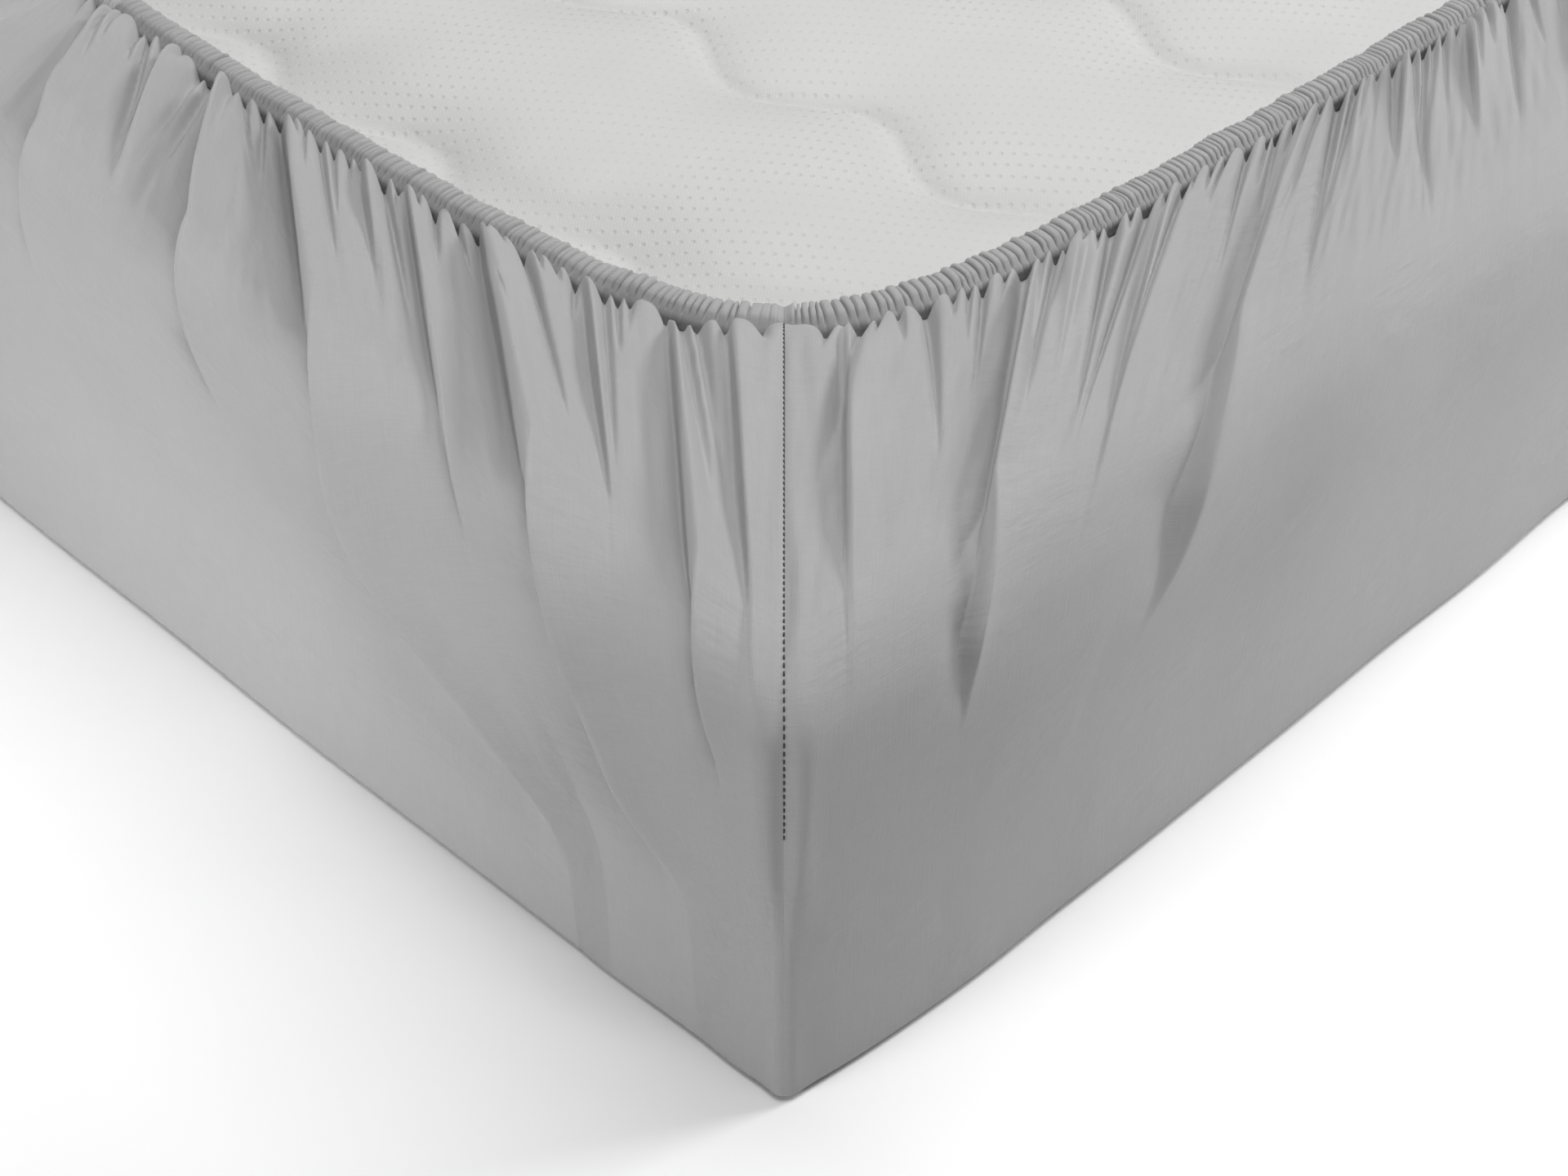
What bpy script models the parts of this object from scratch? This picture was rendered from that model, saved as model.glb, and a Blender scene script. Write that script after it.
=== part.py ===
"""A fitted sheet on a mattress that lies with its underside up.

The sheet is one cloth: a flat panel under the mattress, four taut walls, and a gathered lap that
turns over the upper edge and ends in an elastic hem. The mattress is a plain rounded block inside it.
X is across the mattress, Y is along it, Z is up, and the origin is on the floor under the middle.
"""

import bpy
import numpy as np

# Driving dimensions, in metres.
WIDTH = 0.900  # over the sheet's walls, along X
LENGTH = 2.000  # over the sheet's walls, along Y
LAP_HEIGHT = 0.200  # from the floor to the lap's outer face between its folds
CLOTH = 0.002  # thickness of the sheet
WALL_GAP = 0.0023  # from the sheet's inner face to the mattress, at its walls and edges
FLOOR_GAP = 0.0003  # from the sheet's floor panel to the mattress

FLOOR_EDGE = 0.012  # radius of the sheet's lower edge
LAP_EDGE = 0.040  # radius of the sheet's upper edge
CORNER = 0.025  # radius of the sheet's upright corners, in plan
MATTRESS_EDGE = 0.046  # radius of all the mattress's edges, larger than the sheet's for clearance
WALL_DRAW = 0.003  # how far the walls are drawn in at the floor, under their fullest height

HEM_INSET = 0.118  # the line that the hem nears between two corners, in from the wall
HEM_ROUND = 0.052  # how far the hem stands off that line where it crosses a corner's diagonal
HEM_BAND = 0.014  # width of the elastic casing
HEM_RISE = 0.004  # height of the casing's free edge over the lap

FOOT_DEPTH = 0.050  # depth under the upper edge in which a fold turns towards its foot
HEM_PINCH = 0.5  # a fold's width at the hem, as a share of its width at the edge

# The cloth's cross-section, floor to hem. inset: in from the wall. height: over the floor.
# out, up: how far a fold's ridge stands off the cloth there, as shares of its crest.
# lap: share of the way from the edge to the casing. band: share of the way over the casing.
SECTION_COLUMNS = ("inset", "height", "out", "up", "lap", "band")
SECTION = (
    (FLOOR_EDGE + WALL_DRAW, 0.0, 0, 0, 0, 0),
    (0.29 * FLOOR_EDGE + WALL_DRAW, 0.29 * FLOOR_EDGE, 0, 0, 0, 0),
    (WALL_DRAW, FLOOR_EDGE, 0, 0, 0, 0),
    (0.0, 0.5 * LAP_HEIGHT, 0.5, 0, 0, 0),
    (0.0, LAP_HEIGHT - LAP_EDGE, 0.45, 0, 0, 0),
    (0.13 * LAP_EDGE, LAP_HEIGHT - 0.5 * LAP_EDGE, 0.4, 0.25, 0, 0),
    (0.5 * LAP_EDGE, LAP_HEIGHT - 0.13 * LAP_EDGE, 0.25, 0.5, 0, 0),
    (LAP_EDGE, LAP_HEIGHT, 0, 0.75, 0, 0),
    (LAP_EDGE, LAP_HEIGHT, 0, 1, 0.3, 0),
    (LAP_EDGE, LAP_HEIGHT, 0, 1, 0.65, 0),
    (LAP_EDGE, LAP_HEIGHT, 0, 0.6, 1, 0),
    (LAP_EDGE, LAP_HEIGHT, 0, 0, 1, 1),
)

# Folds, a row each, in order from the side's first corner.
# hem, edge, foot: how far along the side its ridge is at the hem, the upper edge and the floor.
# trough: from the ridge to its trough, at the edge. crest: the ridge's height. drop: how far down
# the wall it reaches.
FOLD_COLUMNS = ("hem", "edge", "foot", "trough", "crest", "drop")
SHORT_SIDE_FOLDS = (
    (0.214, 0.018, 0.008, 0.026, 0.009, 0.03),
    (0.260, 0.062, 0.028, 0.014, 0.006, 0.02),
    (0.298, 0.108, 0.045, 0.022, 0.014, 0.06),
    (0.350, 0.172, 0.080, 0.016, 0.005, 0.02),
    (0.430, 0.236, 0.115, 0.030, 0.012, 0.10),
    (0.466, 0.338, 0.250, 0.024, 0.008, 0.03),
    (0.504, 0.410, 0.350, 0.020, 0.006, 0.03),
    (0.560, 0.466, 0.430, 0.024, 0.009, 0.06),
    (0.610, 0.600, 0.620, -0.022, 0.006, 0.03),
    (0.650, 0.715, 0.760, -0.024, 0.010, 0.07),
    (0.684, 0.806, 0.845, -0.020, 0.007, 0.03),
    (0.706, 0.868, 0.885, -0.016, 0.009, 0.04),
)
LONG_SIDE_FOLDS = (
    (0.196, 0.044, 0.020, -0.014, 0.010, 0.03),
    (0.262, 0.106, 0.095, -0.016, 0.010, 0.06),
    (0.392, 0.178, 0.125, -0.018, 0.005, 0.02),
    (0.478, 0.236, 0.150, 0.028, 0.014, 0.11),
    (0.530, 0.288, 0.240, 0.018, 0.006, 0.03),
    (0.585, 0.334, 0.300, 0.022, 0.007, 0.03),
    (0.660, 0.450, 0.440, 0.026, 0.007, 0.05),
    (0.780, 0.640, 0.640, 0.024, 0.005, 0.02),
    (0.905, 0.820, 0.825, -0.026, 0.006, 0.03),
    (1.030, 0.990, 0.990, 0.022, 0.005, 0.02),
    (1.165, 1.165, 1.160, -0.024, 0.006, 0.04),
    (1.290, 1.335, 1.340, 0.026, 0.005, 0.02),
    (1.400, 1.480, 1.500, -0.024, 0.008, 0.05),
    (1.480, 1.600, 1.640, -0.026, 0.007, 0.03),
    (1.548, 1.722, 1.800, -0.030, 0.013, 0.10),
    (1.622, 1.800, 1.880, -0.018, 0.006, 0.03),
    (1.690, 1.880, 1.940, -0.024, 0.013, 0.07),
    (1.742, 1.932, 1.968, -0.016, 0.006, 0.02),
    (1.786, 1.978, 1.990, -0.022, 0.009, 0.03),
)

# Sides in order round the sheet, anticlockwise from above. turn: quarter turns of its outward
# direction from -Y. flipped: its folds are counted from its far corner.
SIDE_COLUMNS = ("turn", "folds", "flipped", "swell")
SIDES = (
    (0, SHORT_SIDE_FOLDS, True, 1.0),
    (1, LONG_SIDE_FOLDS, False, 1.0),
    (2, SHORT_SIDE_FOLDS, False, 0.9),
    (3, LONG_SIDE_FOLDS, True, 0.85),
)

# Finishes: base colour (linear), roughness.
SHEET_GREY = (0.42, 0.42, 0.42, 1.0)
SHEET_ROUGHNESS = 0.85
MATTRESS_WHITE = (0.72, 0.72, 0.71, 1.0)
MATTRESS_ROUGHNESS = 0.9


def named_rows(columns, table):
    """Each row of a table as a dictionary of its named columns."""
    return [dict(zip(columns, row, strict=True)) for row in table]


def material(name, colour, roughness):
    """A plain Principled material."""
    made = bpy.data.materials.new(name)
    made.use_nodes = True
    shader = made.node_tree.nodes["Principled BSDF"]
    shader.inputs["Base Color"].default_value = colour
    shader.inputs["Roughness"].default_value = roughness
    shader.inputs["Metallic"].default_value = 0.0
    return made


def ribs_of_side(side, length):
    """The lines of cloth from floor to hem along one side: hem, edge, foot, height and drop of each.

    A fold gives a rib on its ridge and one in its trough, and a flat rib lies half way to the next
    fold. Ribs are in order anticlockwise, and all distances are from the side's first corner.
    """
    folds = named_rows(FOLD_COLUMNS, side["folds"])
    ribs = []
    for fold in folds:
        ridge = [fold["hem"], fold["edge"], fold["foot"], fold["crest"], fold["drop"]]
        across = fold["trough"]
        trough = [fold["hem"] + HEM_PINCH * across, fold["edge"] + across, fold["foot"] + across / 2, 0, 0]
        ribs += [ridge, trough] if across > 0 else [trough, ridge]
    ribs = np.array(ribs)
    flat = (ribs[1:-1:2] + ribs[2::2]) / 2
    flat[:, 3] = 0.15 * (ribs[1:-1:2, 3] + ribs[2::2, 3])
    ribs = np.concatenate([ribs, flat])
    ribs[:, 3] *= side["swell"]
    if side["flipped"]:
        ribs[:, :3] = length - ribs[:, :3]
    return ribs[np.argsort(ribs[:, 1])]


def corner_rib(length):
    """The rib at a side's first corner, where the seam is."""
    diagonal = HEM_INSET + HEM_ROUND
    return np.array([[diagonal, 0.0, 0.0, 0.0, 0.0]])


def outline(along, length, inset):
    """(along, inset) of points on a side of a rounded rectangle that is inset from the walls.

    A point within CORNER of an end goes round that corner's arc, up to its diagonal.
    """
    from_end = np.minimum(along, length - along)
    turned = np.clip(1 - from_end / CORNER, 0, 1) * np.pi / 4
    near = CORNER * (1 - np.sin(turned))
    # Past the arc the point keeps its own place along the side, drawn in from the corner's diagonal.
    straight = np.maximum(from_end, CORNER) - CORNER
    half = length / 2
    reach = (half - inset - CORNER) / (half - CORNER)
    from_corner = inset + near + straight * reach
    placed = np.where(along < half, from_corner, length - from_corner)
    return placed, inset + CORNER * (1 - np.cos(turned))


def hem_line(along, length, band):
    """(along, inset) of the hem, or of a line that is band metres nearer to the wall.

    The hem is a straight line with a hyperbola's rise at each corner, so it is square to the
    diagonal where it crosses it.
    """
    square = HEM_ROUND**2
    first = along - HEM_INSET
    second = length - along - HEM_INSET
    inset = HEM_INSET + square / first + square / second
    slope = square / second**2 - square / first**2
    slope[0] = -1.0
    inset[0] = along[0]
    steep = np.sqrt(1 + slope**2)
    return along + band * slope / steep, inset - band / steep


def side_points(side, length, across):
    """World points of one side, an array of SECTION rows by ribs, before its far corner."""
    ribs = np.concatenate([corner_rib(length), ribs_of_side(side, length)])
    hem, edge, foot, crest, drop = ribs.T
    rows = []
    for row in named_rows(SECTION_COLUMNS, SECTION):
        depth = max(LAP_HEIGHT - row["height"], 0.0)
        along = foot + (edge - foot) * np.exp(-depth / FOOT_DEPTH)
        plan, inset = outline(along, length, row["inset"])
        hem_plan, hem_inset = hem_line(hem, length, HEM_BAND * (1 - row["band"]))
        plan = plan + (hem_plan - plan) * row["lap"]
        inset = inset + (hem_inset - inset) * row["lap"]
        fade = np.clip(1 - depth / (drop + LAP_EDGE), 0, 1)
        rise = crest * fade
        inset = inset - rise * row["out"]
        height = row["height"] + rise * row["up"] + HEM_RISE * row["band"]
        rows.append(np.stack([plan, inset, height], axis=-1))
    rows = np.array(rows)
    # From (along, inset, height) on a side that faces -Y to the world.
    x = rows[..., 0] - length / 2
    y = rows[..., 1] - across / 2
    turn = side["turn"] * np.pi / 2
    cos, sin = round(np.cos(turn)), round(np.sin(turn))
    return np.stack([cos * x - sin * y, sin * x + cos * y, rows[..., 2]], axis=-1)


def make_sheet():
    """The sheet's outer face as rings of ribs, floor to hem, closed under the mattress."""
    parts = []
    for side in named_rows(SIDE_COLUMNS, SIDES):
        sizes = (WIDTH, LENGTH) if side["turn"] % 2 == 0 else (LENGTH, WIDTH)
        parts.append(side_points(side, *sizes))
    rings = np.concatenate(parts, axis=1)
    row_count, rib_count = rings.shape[:2]
    ring = np.arange(rib_count)
    following = np.roll(ring, -1)
    quads = []
    for row in range(row_count - 1):
        low, high = row * rib_count, (row + 1) * rib_count
        quads.append(np.stack([low + ring, low + following, high + following, high + ring], axis=-1))
    faces = np.concatenate(quads).tolist()
    faces.append(ring[::-1].tolist())
    mesh = bpy.data.meshes.new("fitted_sheet")
    mesh.from_pydata(rings.reshape(-1, 3).tolist(), [], faces)
    mesh.shade_smooth()
    sheet = bpy.data.objects.new("fitted_sheet", mesh)
    sheet.data.materials.append(material("grey cotton", SHEET_GREY, SHEET_ROUGHNESS))
    wall = sheet.modifiers.new("cloth thickness", "SOLIDIFY")
    wall.thickness = CLOTH
    wall.offset = -1
    wall.use_even_offset = False
    return sheet


def make_mattress():
    """A box with rounded edges, inside the sheet."""
    side_gap = CLOTH + WALL_GAP
    bottom = CLOTH + FLOOR_GAP
    top = LAP_HEIGHT - side_gap
    bpy.ops.mesh.primitive_cube_add(size=1)
    block = bpy.context.object
    block.name = "mattress"
    block.data.name = "mattress"
    size = (WIDTH - 2 * (side_gap + WALL_DRAW), LENGTH - 2 * (side_gap + WALL_DRAW), top - bottom)
    block.data.vertices.foreach_set("co", mesh_points(block.data, size, (0, 0, (top + bottom) / 2)))
    bevel = block.modifiers.new("rounded edges", "BEVEL")
    bevel.width = MATTRESS_EDGE
    bevel.segments = 5
    bevel.limit_method = "NONE"
    block.data.materials.append(material("white knit cover", MATTRESS_WHITE, MATTRESS_ROUGHNESS))
    return block


def mesh_points(mesh, scale, place):
    """The mesh's points scaled and moved, as one flat array."""
    points = np.empty(len(mesh.vertices) * 3)
    mesh.vertices.foreach_get("co", points)
    return (points.reshape(-1, 3) * scale + place).ravel()


def main():
    for old in list(bpy.data.objects):
        bpy.data.objects.remove(old)
    collection = bpy.data.collections.new("fitted sheet on a mattress")
    bpy.context.scene.collection.children.link(collection)
    mattress = make_mattress()
    for holder in list(mattress.users_collection):
        holder.objects.unlink(mattress)
    collection.objects.link(mattress)
    collection.objects.link(make_sheet())


main()
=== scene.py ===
"""A fitted sheet, pulled over a mattress that lies with its underside up.

The cloth is sewn from four sides and the panel under the mattress. Each side runs from one corner
seam to the next, up the wall, over the edge and on to the gathered lap, which ends in a ruched
elastic casing. Inside it shows the mattress's quilted knit cover.

Each side is worked out in its own coordinates: along it from its home corner, inset from its wall,
and height over the floor. A column of its grid is one line of cloth from the floor to the hem, and
the folds follow the columns.
"""

import math

import bpy
import numpy as np
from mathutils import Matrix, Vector


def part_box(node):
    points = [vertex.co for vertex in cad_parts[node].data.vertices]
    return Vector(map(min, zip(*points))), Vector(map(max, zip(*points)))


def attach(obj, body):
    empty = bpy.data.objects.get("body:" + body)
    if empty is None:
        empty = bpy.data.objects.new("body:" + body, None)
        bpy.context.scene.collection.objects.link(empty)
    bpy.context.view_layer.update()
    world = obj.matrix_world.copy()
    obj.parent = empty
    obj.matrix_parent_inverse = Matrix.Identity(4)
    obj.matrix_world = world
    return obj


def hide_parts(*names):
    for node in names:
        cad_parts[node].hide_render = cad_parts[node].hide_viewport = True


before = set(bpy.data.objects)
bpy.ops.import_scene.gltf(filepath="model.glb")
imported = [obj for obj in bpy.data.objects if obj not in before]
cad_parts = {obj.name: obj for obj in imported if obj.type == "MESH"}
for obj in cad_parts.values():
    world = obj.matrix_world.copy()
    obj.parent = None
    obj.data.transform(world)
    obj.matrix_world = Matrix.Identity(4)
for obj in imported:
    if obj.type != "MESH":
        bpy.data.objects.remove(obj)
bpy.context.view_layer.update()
BLOCK_LOW, BLOCK_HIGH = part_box("mattress")

bl_info = {
    "name": "Fitted Sheet",
    "version": (1, 0, 0),
    "blender": (4, 5, 0),
    "location": "3D View > Sidebar > Fitted Sheet",
    "description": "A fitted sheet with a gathered elastic hem, on a quilted mattress",
    "category": "Add Mesh",
}

# Distances from the mattress to the sheet's outer face.
WALL_CLEARANCE = 0.0073
LAP_CLEARANCE = 0.0043

WALL_X = BLOCK_HIGH.x + WALL_CLEARANCE
WALL_Y = BLOCK_HIGH.y + WALL_CLEARANCE
LAP_HEIGHT = BLOCK_HIGH.z + LAP_CLEARANCE

# Depths under the lap at which a fold's course on the wall is given.
LOW_DEPTH = 0.050
FOOT_DEPTH = 0.110
COURSE_BLUR = 0.014  # how far a course's bends are rounded off

# The main folds of a side, a row each, in order from its home corner. hem, edge: how far along the
# side the ridge is at the casing and at the upper edge. low, foot: and down the wall, at LOW_DEPTH
# and FOOT_DEPTH. steep: from the ridge to its trough at the edge, negative towards the home corner.
# crest: the ridge's height. end: how far down the wall it has died out, negative on the lap.
FOLD_COLUMNS = ("hem", "edge", "low", "foot", "steep", "crest", "end")
SHORT_SIDE_FOLDS = (
    (0.184, 0.012, 0.009, 0.006, 0.006, 0.006, 0.022),
    (0.206, 0.038, 0.024, 0.016, 0.007, 0.010, 0.055),
    (0.245, 0.080, 0.050, 0.032, 0.006, 0.006, 0.010),
    (0.305, 0.118, 0.074, 0.045, 0.011, 0.015, 0.130),
    (0.352, 0.172, 0.150, 0.095, 0.007, 0.007, 0.035),
    (0.378, 0.208, 0.190, 0.105, 0.009, 0.007, -0.020),
    (0.440, 0.247, 0.222, 0.115, 0.014, 0.013, 0.165),
    (0.478, 0.348, 0.310, 0.250, 0.012, 0.017, 0.045),
    (0.516, 0.412, 0.385, 0.350, 0.009, 0.010, 0.010),
    (0.574, 0.468, 0.450, 0.430, 0.011, 0.014, 0.040),
    (0.610, 0.600, 0.608, 0.620, -0.010, 0.009, 0.010),
    (0.650, 0.715, 0.735, 0.760, -0.012, 0.016, 0.070),
    (0.684, 0.806, 0.825, 0.845, -0.009, 0.010, 0.020),
    (0.706, 0.868, 0.878, 0.885, -0.008, 0.012, 0.010),
)
LONG_SIDE_FOLDS = (
    (0.189, 0.034, 0.028, 0.020, -0.006, 0.008, 0.020),
    (0.278, 0.098, 0.086, 0.075, -0.006, 0.011, 0.055),
    (0.302, 0.124, 0.108, 0.092, 0.005, 0.007, -0.020),
    (0.362, 0.160, 0.140, 0.120, -0.008, 0.006, 0.020),
    (0.452, 0.232, 0.205, 0.165, -0.012, 0.008, 0.075),
    (0.492, 0.300, 0.282, 0.250, 0.009, 0.012, -0.040),
    (0.524, 0.350, 0.330, 0.310, -0.010, 0.013, -0.020),
    (0.574, 0.420, 0.405, 0.390, -0.010, 0.012, -0.010),
    (0.660, 0.520, 0.510, 0.500, -0.012, 0.009, 0.040),
    (0.780, 0.660, 0.655, 0.650, 0.012, 0.008, 0.010),
    (0.905, 0.820, 0.822, 0.825, -0.012, 0.009, 0.020),
    (1.030, 0.990, 0.990, 0.990, 0.011, 0.008, 0.000),
    (1.165, 1.165, 1.162, 1.160, -0.012, 0.009, 0.040),
    (1.290, 1.335, 1.338, 1.340, 0.012, 0.008, 0.010),
    (1.400, 1.480, 1.490, 1.500, -0.011, 0.012, 0.050),
    (1.480, 1.600, 1.620, 1.640, 0.010, 0.009, 0.010),
    (1.548, 1.722, 1.730, 1.800, -0.013, 0.012, 0.070),
    (1.622, 1.800, 1.845, 1.880, -0.009, 0.008, 0.010),
    (1.690, 1.880, 1.915, 1.940, -0.010, 0.012, 0.060),
    (1.742, 1.932, 1.952, 1.968, 0.007, 0.008, -0.010),
    (1.786, 1.978, 1.986, 1.990, -0.008, 0.012, 0.000),
)

# The four sides. turn: quarter turns of the outward direction from -Y. flipped: its home corner is
# its last one, anticlockwise. swell: its folds' size. seed: of its small gathers. bow, bow_reach:
# how far its wall stands out between the corners, and over what distance from a corner it does.
# plain: the length of casing at its home corner that has no pleats. step: its columns' spacing.
SIDE_COLUMNS = ("name", "turn", "folds", "flipped", "swell", "seed", "bow", "bow_reach", "plain", "step")
SIDES = (
    ("front", 0, SHORT_SIDE_FOLDS, True, 1.15, 11, 0.008, 0.450, 0.012, 1.0),
    ("right", 1, LONG_SIDE_FOLDS, False, 1.1, 23, 0.010, 0.150, 0.001, 1.0),
    ("back", 2, SHORT_SIDE_FOLDS, False, 0.65, 37, 0.009, 0.300, 0.008, 1.6),
    ("left", 3, LONG_SIDE_FOLDS, True, 0.65, 51, 0.010, 0.250, 0.004, 1.6),
)


def named_rows(columns, table):
    """Each row of a table as a dictionary of its named columns."""
    return [dict(zip(columns, row, strict=True)) for row in table]


# ---------------------------------------------------------------- sizes and colours


class SheetSettings(bpy.types.PropertyGroup):
    """Sizes and colours of the sheet."""

    edge_radius: bpy.props.FloatProperty(
        name="Upper edge",
        description="Radius of the cloth where it turns over on to the lap",
        default=0.030,
        unit="LENGTH",
    )
    floor_radius: bpy.props.FloatProperty(
        name="Lower edge",
        description="Radius of the cloth where it turns under the mattress",
        default=0.0035,
        unit="LENGTH",
    )
    hem_inset: bpy.props.FloatProperty(
        name="Hem inset",
        description="Distance from the wall to the line that the hem nears between corners",
        default=0.118,
        unit="LENGTH",
    )
    hem_round: bpy.props.FloatProperty(
        name="Hem rounding",
        description="How far the hem stands off that line where it crosses a corner's diagonal",
        default=0.052,
        unit="LENGTH",
    )
    casing_width: bpy.props.FloatProperty(
        name="Casing width",
        description="Width of the elastic casing, from its stitch line to its free edge",
        default=0.0122,
        unit="LENGTH",
    )
    pleat_pitch: bpy.props.FloatProperty(
        name="Pleat pitch",
        description="Mean distance between two pleats of the casing",
        default=0.0035,
        unit="LENGTH",
    )
    cloth_colour: bpy.props.FloatVectorProperty(
        name="Cloth",
        description="Colour of the cotton",
        default=(0.37, 0.37, 0.37),
        subtype="COLOR",
        min=0.0,
        max=1.0,
    )
    # The stitches' colour, near black, is partly the thread and partly painted shade of the stitch holes
    thread_and_hole_shade_colour: bpy.props.FloatVectorProperty(
        name="Thread",
        description="Colour of the seam's thread",
        default=(0.02, 0.02, 0.02),
        subtype="COLOR",
        min=0.0,
        max=1.0,
    )


class MattressSettings(bpy.types.PropertyGroup):
    """Sizes and colours of the mattress."""

    edge_radius: bpy.props.FloatProperty(
        name="Edge radius",
        description="Radius of the mattress's edges",
        default=0.046,
        unit="LENGTH",
    )
    wave_spacing: bpy.props.FloatProperty(
        name="Channel spacing",
        description="Distance between two quilting channels, along the mattress",
        default=0.160,
        unit="LENGTH",
    )
    wave_length: bpy.props.FloatProperty(
        name="Wave length",
        description="Length of one wave of a quilting channel",
        default=0.126,
        unit="LENGTH",
    )
    wave_height: bpy.props.FloatProperty(
        name="Wave height",
        description="How far a channel waves to each side",
        default=0.0135,
        unit="LENGTH",
    )
    puff: bpy.props.FloatProperty(
        name="Puff",
        description="Height of the padding between two channels",
        default=0.0085,
        unit="LENGTH",
    )
    cover_colour: bpy.props.FloatVectorProperty(
        name="Cover",
        description="Colour of the knit cover",
        default=(0.54, 0.54, 0.535),
        subtype="COLOR",
        min=0.0,
        max=1.0,
    )


class StageSettings(bpy.types.PropertyGroup):
    """Light and floor."""

    floor_colour: bpy.props.FloatVectorProperty(
        name="Floor",
        description="Colour of the floor",
        default=(0.98, 0.98, 0.98),
        subtype="COLOR",
        min=0.0,
        max=1.0,
    )
    sky: bpy.props.FloatProperty(
        name="Room light",
        description="Strength of the even light from all round",
        default=0.03,
        min=0.0,
    )


# ---------------------------------------------------------------- the course of the cloth


def ramp(x, low, high):
    """A smooth rise from 0 at low to 1 at high: 3t^2 - 2t^3 of the clipped share t."""
    t = np.clip((x - low) / (high - low), 0.0, 1.0)
    return t * t * (3 - 2 * t)


def side_sizes(side):
    """(length of the side, length of the side next to it)."""
    return (2 * WALL_X, 2 * WALL_Y) if side["turn"] % 2 == 0 else (2 * WALL_Y, 2 * WALL_X)


def to_world(side, along, inset, height):
    """World points, from a side's own coordinates."""
    length, across = side_sizes(side)
    if side["flipped"]:
        along = length - along
    x = along - length / 2
    y = inset - across / 2
    turn = side["turn"] * math.pi / 2
    cos, sin = round(math.cos(turn)), round(math.sin(turn))
    height = np.broadcast_to(height, x.shape)
    return np.stack([cos * x - sin * y, sin * x + cos * y, height], axis=-1)


def hem_line(settings, length, along):
    """(inset, slope) of the casing's free edge, for places along a side.

    Two hyperbolas, one for each end, added to a straight line: inset = line + round^2 / distance from
    each end's line, less the far one's share at an end. So each end meets the corner's diagonal
    square.
    """
    square = settings.hem_round**2
    first = along - settings.hem_inset
    second = length - along - settings.hem_inset
    excess = square / (length - 2 * settings.hem_inset - settings.hem_round)
    inset = settings.hem_inset + square / first + square / second - excess
    slope = square / second**2 - square / first**2
    return inset, slope


CASING_OVERLAP = 0.002  # how far the side's cloth runs under the casing, past its stitch line


def cloth_end(settings, length, along):
    """(along, inset) of the end of a side's cloth, under the casing."""
    band = settings.casing_width - CASING_OVERLAP
    inset, slope = hem_line(settings, length, along)
    steep = np.sqrt(1 + slope**2)
    return along + band * slope / steep, inset - band / steep


def courses(settings, side):
    """The table of hem, edge, low and foot of the lines that the columns are drawn between."""
    length, _ = side_sizes(side)
    home = settings.hem_inset + settings.hem_round
    first = (home, 0.0, 0.0, 0.0)
    last = (length - home, length, length, length)
    return np.array([first, *(row[:4] for row in side["folds"]), last])


HEM_STEP = 0.0011  # longest step between two columns at the hem
EDGE_STEP = 0.0026  # and at the upper edge
FAR_SHARE = 3.0  # how much longer the steps are far from the home corner
FAR_FROM = (0.50, 0.70)  # distances from it between which they grow to that


def column_places(settings, side):
    """(edge, hem, low, foot) of each column.

    The columns' density along the side is the larger of what the hem and the edge ask for. Its
    integral, cut into even steps, gives the places.
    """
    hem, edge, low, foot = courses(settings, side).T
    fine = np.linspace(0.0, edge[-1], 6001)
    crowd = np.gradient(np.interp(fine, edge, hem), fine)
    grow = side["step"] * (1 + (FAR_SHARE - 1) * ramp(fine, *FAR_FROM))
    density = np.maximum(crowd / HEM_STEP, 1 / EDGE_STEP) / grow
    total = np.concatenate([[0.0], np.cumsum((density[1:] + density[:-1]) / 2 * np.diff(fine))])
    count = int(math.ceil(total[-1])) + 1
    place = np.interp(np.linspace(0.0, total[-1], count), total, fine)
    return place, *(np.interp(place, edge, column) for column in (hem, low, foot))


FLOOR_ROWS = 5
WALL_ROWS = 24
EDGE_ROWS = 20
LAP_ROWS = 64
GRID_ROWS = FLOOR_ROWS + WALL_ROWS + EDGE_ROWS + LAP_ROWS + 1
ROW_CROWDING = 0.35  # how much the lap's rows crowd towards the hem


def section_rows(settings):
    """(inset, height, lap share) of each row of a side, from the floor to the hem.

    A quarter circle at the floor, a straight wall, a quarter circle at the upper edge, and the lap,
    on which inset stays and the share grows to 1. Rows crowd towards the hem.
    """
    floor, edge = settings.floor_radius, settings.edge_radius
    low = np.linspace(0.0, math.pi / 2, FLOOR_ROWS + 1)[:-1]
    high = np.linspace(math.pi / 2, 0.0, EDGE_ROWS + 1)[:-1]
    wall = np.linspace(floor, LAP_HEIGHT - edge, WALL_ROWS + 1)[:-1]
    lap = np.linspace(0.0, 1.0, LAP_ROWS + 1)
    lap = lap + ROW_CROWDING * lap * (1 - lap)
    inset = [floor * (1 - np.sin(low)), 0 * wall, edge * (1 - np.sin(high)), edge + 0 * lap]
    height = [
        floor * (1 - np.cos(low)),
        wall,
        LAP_HEIGHT - edge * (1 - np.cos(high)),
        LAP_HEIGHT + 0 * lap,
    ]
    share = [0 * low, 0 * wall, 0 * high, lap]
    return tuple(np.concatenate(part)[:, None] for part in (inset, height, share))


def bent_share(depth, start, full):
    """A rise from 0 to 1 between two depths, with its bends rounded off by averaging."""
    blur = np.linspace(-COURSE_BLUR, COURSE_BLUR, 7)
    near = np.interp(depth[..., None] + blur, (start, full), (0.0, 1.0))
    return near.mean(axis=-1)


WALL_FLARE = 0.004  # how far the walls stand out at the floor
FLARE_HEIGHT = 0.1  # and up to what height
CORNER_FLOOR = 0.006  # radius of the upright corner at the floor
CORNER_MIDDLE = 0.005  # and at half height
CORNER_TOP = 0.018  # and at the upper edge
MIDDLE_HEIGHT = 0.1  # the half height, for that radius


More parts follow.
